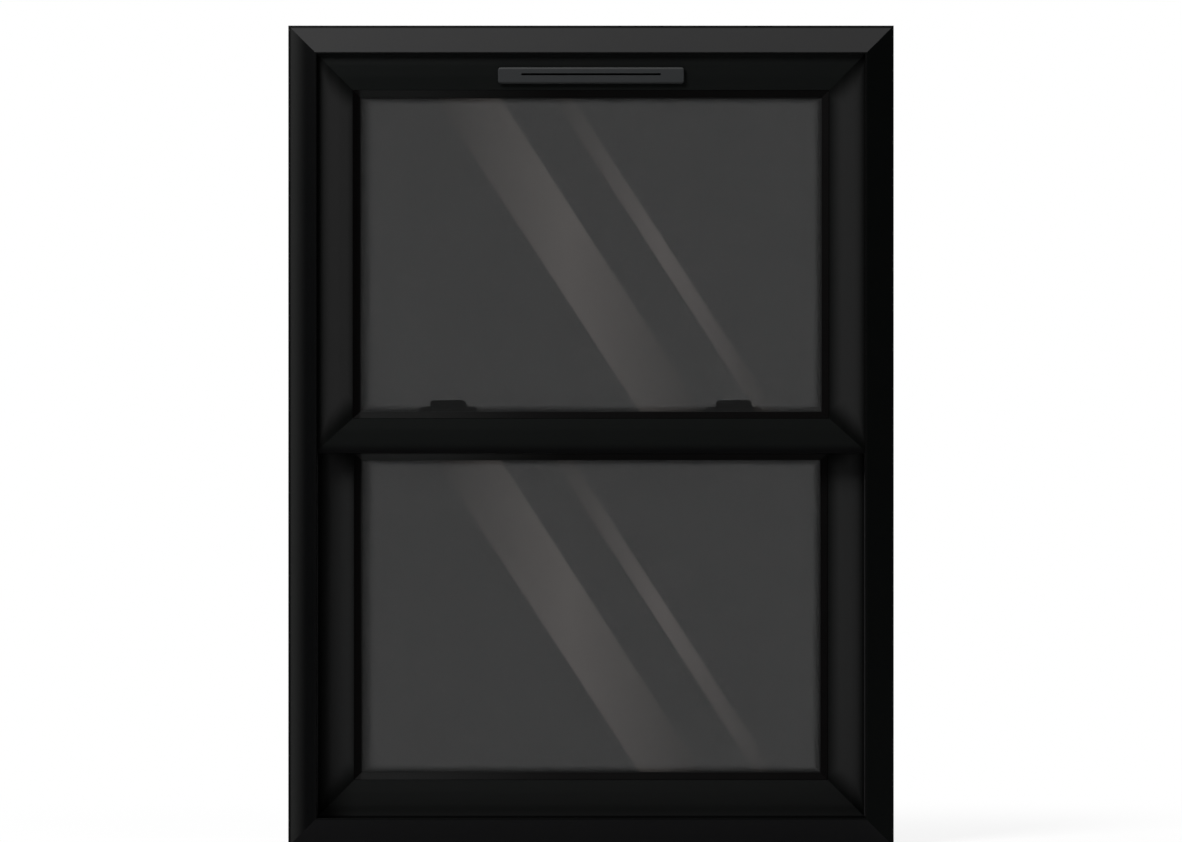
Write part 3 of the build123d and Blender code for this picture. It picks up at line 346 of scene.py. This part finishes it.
# Glass: a dark grey outer pane and a clear inner one. The outer pane is painted denser towards
# its edges, as painted shade from the rebate, and more sharply beside its right edge and its ends.
GLASS_GREY = (0.0030, 0.0032, 0.0031, 1.0)
GLASS_DENSITY = 0.8020
GLASS_SHADED_EDGE_DENSITY = 0.920
CLEAR_GREEN = (0.30, 0.34, 0.33, 1.0)
CLEAR_DENSITY = 0.05
EDGE_SHADE = 0.020
RIGHT_SHADE = 1.5
END_SHADE = 1.8
SIGHTLINE = 0.068
MEETING_SIGHTLINE = 0.0608
FOOT_INSETS = {"upper": MEETING_SIGHTLINE, "lower": SIGHTLINE}
TOP_INSETS = {"upper": SIGHTLINE, "lower": MEETING_SIGHTLINE}


def pane_finish(name, colour, density, shaded_edge_density, low, high):
    """Glass that lets straight light through, less of it beside the sightline, as painted shade.
    """
    material, paint = blank_finish(name)
    x, y, z = place(paint)
    to_side = nearer(x - low.x, RIGHT_SHADE * (high.x - x))
    to_end = END_SHADE * nearer(z - low.z, high.z - z)
    clear = ease(nearer(to_side, to_end), 0.0, EDGE_SHADE)
    smear = grain(paint, 3.0, 3.0, (1.0, 1.0, 0.5))
    shade(
        paint,
        {
            "Base Color": colour,
            "Roughness": 0.002 + 0.006 * smear,
            "Specular IOR Level": 0.5,
            "Alpha": shaded_edge_density - (shaded_edge_density - density) * clear,
        },
    )
    return material


seen_glass = {}
for sash in ("upper", "lower"):
    sash_low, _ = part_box(f"{sash}_stile_left")
    _, sash_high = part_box(f"{sash}_stile_right")
    corners = (
        Vector((sash_low.x + SIGHTLINE, 0.0, sash_low.z + FOOT_INSETS[sash])),
        Vector((sash_high.x - SIGHTLINE, 0.0, sash_high.z - TOP_INSETS[sash])),
    )
    seen_glass[sash] = corners
    for look, pane, colour, density, shaded_edge_density in (
        ("tinted", "outer", GLASS_GREY, GLASS_DENSITY, GLASS_SHADED_EDGE_DENSITY),
        ("clear", "inner", CLEAR_GREEN, CLEAR_DENSITY, CLEAR_DENSITY),
    ):
        glass = pane_finish(f"{sash}_{look}_glass", colour, density, shaded_edge_density, *corners)
        dress(glass, f"{sash}_{pane}_pane")

# Gaskets and spacer bars between the panes and the aluminium: matt rubber, and a black
# anodised bar with rows of fine perforations.
rubber, paint = blank_finish("gasket_rubber")
bloom = grain(paint, 60.0, 3.0)
shade(
    paint,
    {
        "Base Color": tint(bloom, (0.0035, 0.0035, 0.0036), (0.0070, 0.0070, 0.0072)),
        "Roughness": 0.62 + 0.16 * bloom,
        "Specular IOR Level": 0.2,
    },
)
anodised, paint = blank_finish("spacer_aluminium")
perforations = ease(grain(paint, 1800.0), 0.60, 0.66)
shade(
    paint,
    {
        "Base Color": tint(perforations, (0.016, 0.016, 0.017), (0.002, 0.002, 0.002)),
        "Metallic": 0.7,
        "Roughness": 0.45 + 0.1 * grain(paint, 25.0),
    },
)
for sash in ("upper", "lower"):
    dress(rubber, f"{sash}_outer_gasket", f"{sash}_inner_gasket")
    dress(anodised, f"{sash}_spacer_bar")

# Trickle vent: a moulded dark grey hood with one long slot, over a grille and a slider
# that shuts it from indoors. The hood's top edge is painted lighter, as a painted highlight,
# and its foot is painted dark, as painted shade.
VENT_GREY = (0.0184, 0.0191, 0.0203)
VENT_CLOUD = (0.0160, 0.0178, 0.0184)
VENT_FOOT_SHADE = (0.0080, 0.0086, 0.0088)
VENT_RIM_HIGHLIGHT = (0.0370, 0.0385, 0.0385)
# Heights of the painted shade at the foot and of the painted highlight at the top edge
FOOT_HEIGHT = 0.0027
RIM_DEPTH = 0.0026
hood_low, hood_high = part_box("vent_hood")
vent_plastic, paint = blank_finish("vent_plastic")
x, y, z = place(paint)
mottle = grain(paint, 1400.0)
body_tone = tint(grain(paint, 30.0), VENT_CLOUD, VENT_GREY)
above_foot = past(z, hood_low.z + FOOT_HEIGHT, 0.0009)
on_rim = past(z, hood_high.z - RIM_DEPTH, 0.0006)
shade(
    paint,
    {
        "Base Color": tint(on_rim, tint(above_foot, VENT_FOOT_SHADE, body_tone), VENT_RIM_HIGHLIGHT),
        "Roughness": 0.42 + 0.08 * mottle,
        "Specular IOR Level": 0.12,
        "Normal": relief(mottle, 0.3, 0.0001),
    },
)
dress(vent_plastic, "vent_hood", "vent_grille", "vent_slider")

# Catches: die-cast keepers on the upper sash, and on the lower one bases with turning levers.
# The finger lifts share their coat, which is a little smoother than the frame's.
hardware_coat, paint = blank_finish("hardware_coat")
cast = grain(paint, 500.0)
worn = grain(paint, 40.0, 4.0)
shade(
    paint,
    {
        "Base Color": tint(worn, (0.0040, 0.0041, 0.0042), (0.0075, 0.0076, 0.0078)),
        "Roughness": 0.34 + 0.10 * worn,
        "Specular IOR Level": 0.35,
        "Normal": relief(cast, 0.25, 0.0001),
    },
)
dress(hardware_coat, "catch_keepers", "catch_bases", "catch_lever_left", "catch_lever_right")
dress(hardware_coat, "finger_lifts")

# Screws: blackened stainless steel pan heads with a cross recess, over a pointed shank. Eight
# hold the catches and the finger lifts, four hold the keepers and four the balance hangers.
blackened, paint = blank_finish("screw_steel")
marks = grain(paint, 700.0, 3.0)
shade(
    paint,
    {
        "Base Color": tint(marks, (0.060, 0.060, 0.062), (0.120, 0.118, 0.115)),
        "Metallic": 1.0,
        "Roughness": 0.30 + 0.15 * marks,
    },
)

# Radius and height of the head, then radius and length of the shank
SASH_SCREW = (0.0032, 0.0016, 0.0016, 0.016)
KEEPER_SCREW = (0.0022, 0.0008, 0.0016, 0.010)
HANGER_SCREW = (0.0032, 0.0016, 0.00195, 0.010)

# The head's rings, up from its seat: a share of its height, and of the last ring's radius
HEAD_RINGS = ((0.45, 1.0), (0.40, 0.88), (0.15, 0.82))
HEAD_SIDES = 32
POINT_SHARE = 0.2
POINT_RADIUS = 0.1
CROSS_REACH = 0.56
CROSS_TAPER = 0.7
CROSS_DEPTH = 0.7


def grow_ring(shape, ring, rise, spread):
    """Extrude an open ring of edges, raise it, scale it across, and return the new ring."""
    grown = bmesh.ops.extrude_edge_only(shape, edges=ring)["geom"]
    fresh = [part for part in grown if isinstance(part, bmesh.types.BMVert)]
    bmesh.ops.scale(shape, vec=(spread, spread, 1.0), verts=fresh)
    bmesh.ops.translate(shape, vec=(0.0, 0.0, rise), verts=fresh)
    ring_verts = set(fresh)
    return [edge for edge in shape.edges if ring_verts.issuperset(edge.verts)]


def cross_screw(name, head_radius, head_height, shank_radius, length):
    """One screw on the origin, its head above and its shank below."""
    shape = bmesh.new()
    bmesh.ops.create_circle(shape, segments=HEAD_SIDES, radius=head_radius)
    seat = list(shape.edges)
    crown = seat
    for rise, spread in HEAD_RINGS:
        crown = grow_ring(shape, crown, rise * head_height, spread)
    shank = grow_ring(shape, seat, 0.0, shank_radius / head_radius)
    shank = grow_ring(shape, shank, (POINT_SHARE - 1.0) * length, 1.0)
    point = grow_ring(shape, shank, -POINT_SHARE * length, POINT_RADIUS)
    bmesh.ops.edgeloop_fill(shape, edges=point)

    reach = CROSS_REACH * head_radius
    on_top = Matrix.Translation((0.0, 0.0, head_height))
    grid = bmesh.ops.create_grid(shape, x_segments=3, y_segments=3, size=reach, matrix=on_top)
    grid_verts = set(grid["verts"])
    cells = [face for face in shape.faces if grid_verts.issuperset(face.verts)]
    corners = [cell for cell in cells if min(map(abs, cell.calc_center_median().xy)) > reach / 3]
    cross = [cell for cell in cells if cell not in corners]
    bmesh.ops.delete(shape, geom=corners, context="FACES")
    cross_verts = {vert for cell in cross for vert in cell.verts}
    open_edges = [edge for edge in shape.edges if edge.is_boundary]
    outline = [edge for edge in open_edges if cross_verts.issuperset(edge.verts)]
    bmesh.ops.bridge_loops(shape, edges=outline + crown)
    sunk = bmesh.ops.extrude_face_region(shape, geom=cross)["geom"]
    bmesh.ops.delete(shape, geom=cross, context="FACES")
    foot = [part for part in sunk if isinstance(part, bmesh.types.BMVert)]
    bmesh.ops.scale(shape, vec=(CROSS_TAPER, CROSS_TAPER, 1.0), verts=foot)
    bmesh.ops.translate(shape, vec=(0.0, 0.0, -CROSS_DEPTH * head_height), verts=foot)
    bmesh.ops.recalc_face_normals(shape, faces=shape.faces)
    mesh = bpy.data.meshes.new(name)
    shape.to_mesh(mesh)
    shape.free()
    return mesh


def new_piece(name, shape, material):
    """Link a finished shape as an object with one material."""
    mesh = bpy.data.meshes.new(name)
    shape.to_mesh(mesh)
    shape.free()
    mesh.materials.append(material)
    piece = bpy.data.objects.new(name, mesh)
    bpy.context.scene.collection.objects.link(piece)
    return piece


def paired(middle, offset):
    """Where a left and a right fitting have their two screws each, across the window."""
    return [side * middle + end * offset for side in (-1, 1) for end in (-1, 1)]


# Each fitting's middle and how far from it its screws stand, and then their seats
CATCH_MIDDLE = 0.210
LIFT_MIDDLE = 0.200
CATCH_SCREWS = 0.032
LIFT_SCREWS = 0.033
KEEPER_SCREWS = 0.018
KEEPER_LINE = -0.00855
KEEPER_SEAT = 0.0026
LIFT_PLATE = 0.0025
HANGER_PLATE = 0.002
SCREW_DROP = 0.007
UPWARD = (0, 0, 1)
ROOMWARD = (0, 1, 0)
catch_low, catch_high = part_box("catch_bases")
lift_low, lift_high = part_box("finger_lifts")
keeper_low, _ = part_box("catch_keepers")
_, hanger_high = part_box("balance_hangers")
_, catch_line, catch_seat = (catch_low + catch_high) / 2
catch_spots = [
    ((across, catch_line, catch_seat), UPWARD) for across in paired(CATCH_MIDDLE, CATCH_SCREWS)
]
lift_spots = [
    ((across, lift_low.y + LIFT_PLATE, lift_high.z - SCREW_DROP), ROOMWARD)
    for across in paired(LIFT_MIDDLE, LIFT_SCREWS)
]
keeper_spots = [
    ((across, KEEPER_LINE, keeper_low.z + KEEPER_SEAT), UPWARD)
    for across in paired(CATCH_MIDDLE, KEEPER_SCREWS)
]
hanger_spots = []
for side in (-1, 1):
    for sash in ("upper", "lower"):
        tubes_low, tubes_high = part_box(f"{sash}_balance_tubes")
        track_line = (tubes_low.y + tubes_high.y) / 2
        plate = side * (hanger_high.x - HANGER_PLATE)
        hanger_spots.append(((plate, track_line, hanger_high.z - SCREW_DROP), (-side, 0, 0)))

# The screws of a group are driven to different turns, so that no two recesses line up
TURN_APART = 0.6
for node, body, sizes, spots in (
    ("lower_sash_screws", "lower_sash", SASH_SCREW, catch_spots + lift_spots),
    ("keeper_screws", "upper_sash", KEEPER_SCREW, keeper_spots),
    ("hanger_screws", "frame", HANGER_SCREW, hanger_spots),
):
    screw = cross_screw(node + "_pattern", *sizes)
    shape = bmesh.new()
    for count, (spot, out) in enumerate(spots):
        aimed = Vector(out).to_track_quat("Z", "Y").to_matrix().to_4x4()
        turned = Matrix.Rotation(TURN_APART * count, 4, "Z")
        driven = screw.copy()
        driven.transform(Matrix.Translation(spot) @ aimed @ turned)
        shape.from_mesh(driven)
        bpy.data.meshes.remove(driven)
    bpy.data.meshes.remove(screw)
    screws = new_piece("cross_" + node, shape, blackened)
    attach(screws, body)
    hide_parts(node)

# Spiral balances: mill aluminium tubes and zinc-plated twisted rods. The corner cleats
# inside the sections are the same plain aluminium.
mill, paint = blank_finish("mill_aluminium")
draw_lines = grain(paint, 900.0, 2.0, (1.0, 1.0, 0.01))
shade(
    paint,
    {
        "Base Color": tint(draw_lines, (0.50, 0.51, 0.52), (0.64, 0.65, 0.66)),
        "Metallic": 1.0,
        "Roughness": 0.28 + 0.20 * draw_lines,
    },
)
dress(mill, "upper_balance_tubes", "lower_balance_tubes")
dress(mill, "frame_corner_cleats", "upper_corner_cleats", "lower_corner_cleats")

zinc, paint = blank_finish("balance_steel")
spangle = grain(paint, 180.0, 4.0)
shade(
    paint,
    {
        "Base Color": tint(spangle, (0.42, 0.43, 0.45), (0.62, 0.62, 0.60)),
        "Metallic": 1.0,
        "Roughness": 0.24 + 0.22 * spangle,
    },
)
for sash in ("upper", "lower"):
    dress(zinc, f"{sash}_balance_rod_left", f"{sash}_balance_rod_right")

# Nylon mouldings: the bushes that the rods turn, the hangers that plug the tubes, travel
# stops, fixing caps, guide pads, and the setting blocks under the glass.
nylon, paint = blank_finish("black_nylon")
flow = grain(paint, 35.0, 3.0)
pitting = grain(paint, 1600.0)
shade(
    paint,
    {
        "Base Color": tint(flow, (0.0065, 0.0065, 0.0068), (0.0115, 0.0115, 0.0118)),
        "Roughness": 0.48 + 0.12 * flow,
        "Specular IOR Level": 0.3,
        "Normal": relief(pitting, 0.3, 0.00008),
    },
)
dress(nylon, "balance_hangers", "travel_stops", "fixing_caps")
for sash in ("upper", "lower"):
    dress(nylon, f"{sash}_bush_left", f"{sash}_bush_right")
    dress(nylon, f"{sash}_guide_pads", f"{sash}_setting_blocks")

# Brush seals: dense dark pile on a woven backing, in the frame's lips and parting fin and
# along the sashes' rails.
pile, paint = blank_finish("brush_pile")
fibres = grain(paint, 2500.0, 2.0, (1.0, 0.03, 1.0))
tufts = grain(paint, 260.0)
shade(
    paint,
    {
        "Base Color": tint(fibres, (0.0060, 0.0060, 0.0064), (0.0260, 0.0260, 0.0270)),
        "Roughness": 0.85 + 0.1 * tufts,
        "Specular IOR Level": 0.1,
        "Normal": relief(fibres, 0.8, 0.0003),
    },
)
dress(pile, "frame_brush_seals", "upper_brush_seals", "lower_brush_seal")

# Camera: straight in front and far off, as the drawing has no perspective. One pixel of the
# 1182 x 842 photograph is 1.46 mm, and the window's foot is just below the picture.
PHOTO_SCALE = 0.00146
PHOTO_WIDTH = 1182
PHOTO_MIDDLE = 421
PHOTO_FOOT = 847
LENS = 200.0
camera_data = bpy.data.cameras.new("camera")
camera_data.lens = LENS
camera_data.clip_end = 100.0
camera = bpy.data.objects.new("camera", camera_data)
bpy.context.scene.collection.objects.link(camera)
distance = PHOTO_WIDTH * PHOTO_SCALE * LENS / camera_data.sensor_width
eye = Vector((0.0, FRONT - distance, (PHOTO_FOOT - PHOTO_MIDDLE) * PHOTO_SCALE))
camera.location = eye
camera.rotation_euler = (math.pi / 2, 0.0, 0.0)
bpy.context.scene.camera = camera

# Studio light: a soft key in front, from the upper left, which draws the slopes and beads,
# and a fill behind for the room side.


def lamp(name, spot, target, size, power):
    """A square soft box at a spot, turned to its target."""
    data = bpy.data.lights.new(name, "AREA")
    data.size = size
    data.energy = power
    light = bpy.data.objects.new(name, data)
    light.location = spot
    light.rotation_euler = (target - Vector(spot)).to_track_quat("-Z", "Y").to_euler()
    bpy.context.scene.collection.objects.link(light)


middle = (cad_low + cad_high) / 2
lamp("key", (-1.9, -3.1, 3.2), middle, 1.6, 190.0)
lamp("back_fill", (1.2, 3.2, 2.4), middle, 2.0, 90.0)

# Surround: white to the camera and through the glass, and dimmer as a light. Mirrored in the
# window it is a dim room in front, so that the glass stays dark, and brighter elsewhere.
WHITE = (1.0, 1.0, 1.0, 1.0)
AMBIENT = 0.35
MIRRORED_FRONT = 0.20
MIRRORED_BACK = 0.65
world = bpy.data.worlds.new("surround")
bpy.context.scene.world = world
world.use_nodes = True
world.node_tree.nodes.clear()
sky = Signal(world.node_tree)
direct, through, mirrored = (
    sky.node("ShaderNodeLightPath", {}, {}, ray)
    for ray in ("Is Camera Ray", "Is Transmission Ray", "Is Glossy Ray")
)
seen = direct + through
heading = sky.node("ShaderNodeTexCoord", {}, {}, "Generated")
backward = sky.node("ShaderNodeSeparateXYZ", {}, {0: heading}, "Y")
around = MIRRORED_FRONT + (1.0 - MIRRORED_FRONT) * ease(backward, -0.7, 0.3)
reflected = around - (1.0 - MIRRORED_BACK) * ease(backward, 0.5, 0.9)
strength = seen + mirrored * reflected + (1.0 - seen - mirrored) * AMBIENT
background = sky.node("ShaderNodeBackground", {}, {"Color": WHITE, "Strength": strength})
sky.node("ShaderNodeOutputWorld", {}, {"Surface": background})

# Floor: plain white to the camera, with a fifth of its own shading near the window, so that
# the window's shadow shows there and fades out further off.
FLOOR_HALF = 5.0
FLOOR_FRONT = -1.6
FLOOR_WHITENESS = 0.80
FADE_ACROSS = (0.6, 1.2)
FADE_THROUGH = (0.3, 1.2)
white, paint = blank_finish("white_floor")
x, y, z = place(paint)
looked_at = paint.node("ShaderNodeLightPath", {}, {}, "Is Camera Ray")
near_window = (1.0 - ease(abs(x), *FADE_ACROSS)) * (1.0 - ease(abs(y), *FADE_THROUGH))
whiten = FLOOR_WHITENESS + (1.0 - FLOOR_WHITENESS) * (1.0 - near_window)
speckle = tint(grain(paint, 4.0), (0.86, 0.86, 0.86), (0.90, 0.90, 0.90))
matt = paint.node("ShaderNodeBsdfDiffuse", {}, {"Color": speckle})
glow = paint.node("ShaderNodeEmission", {}, {"Color": WHITE, "Strength": 1.0})
mixed = paint.node("ShaderNodeMixShader", {}, {0: looked_at * whiten, 1: matt, 2: glow})
paint.node("ShaderNodeOutputMaterial", {}, {"Surface": mixed})
shape = bmesh.new()
bmesh.ops.create_grid(shape, x_segments=1, y_segments=1, size=FLOOR_HALF)
bmesh.ops.translate(shape, vec=(0.0, FLOOR_HALF + FLOOR_FRONT, 0.0), verts=shape.verts)
floor = new_piece("floor", shape, white)

# Strip lights: two for each pane, slanting, which only the glass shows, as its diagonal
# glints. Each lies where the eye sees it mirrored, and is brightest along its middle.
STRIP_DISTANCE = 4.0
STRIP_COLOUR = (1.0, 0.90, 0.85, 1.0)
STRIP_POWER = 1.36
STRIP_END = 0.12

# Columns of the photograph at each glint's left and right edge, at the top and at the foot
GLINTS = {"wide": (435, 500, 640, 703), "narrow": (553, 572, 757, 776)}


def photo_x(column):
    """Metres from the window's middle to a pixel column of the photograph."""
    return (column - PHOTO_WIDTH / 2) * PHOTO_SCALE


strip_light, paint = blank_finish("strip_light")
rightward = paint.node("ShaderNodeUVMap", {"uv_map": "rightward"}, {})
across_strip = paint.node("ShaderNodeSeparateXYZ", {}, {0: rightward}, "X")
swell = 1.0 - (1.0 - STRIP_END) * abs(2.0 * across_strip - 1.0)
power = STRIP_POWER * swell
glow = paint.node("ShaderNodeEmission", {}, {"Color": STRIP_COLOUR, "Strength": power})
paint.node("ShaderNodeOutputMaterial", {}, {"Surface": glow})
for sash in ("upper", "lower"):
    pane_low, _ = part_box(f"{sash}_outer_pane")
    glass_face = pane_low.y
    reach = (glass_face - FRONT + STRIP_DISTANCE) / (glass_face - eye.y)
    foot, top = (corner.z for corner in seen_glass[sash])
    for width, (top_left, top_right, foot_left, foot_right) in GLINTS.items():
        outline = ((foot_left, foot), (foot_right, foot), (top_right, top), (top_left, top))
        shape = bmesh.new()
        for column, height in outline:
            on_glass = Vector((photo_x(column), glass_face, height))
            image = on_glass + reach * (on_glass - eye)
            image.y = FRONT - STRIP_DISTANCE
            shape.verts.new(image)
        strip_face = shape.faces.new(shape.verts)
        uv = shape.loops.layers.uv.new("rightward")
        for loop, (column, height) in zip(strip_face.loops, outline):
            loop[uv].uv = ((column - top_left) / (foot_right - top_left), 0.0)
        strip = new_piece(f"{sash}_{width}_strip", shape, strip_light)
        strip.visible_camera = False
        strip.visible_diffuse = False
        strip.visible_transmission = False
        strip.visible_shadow = False

bpy.context.scene.view_settings.view_transform = "Standard"
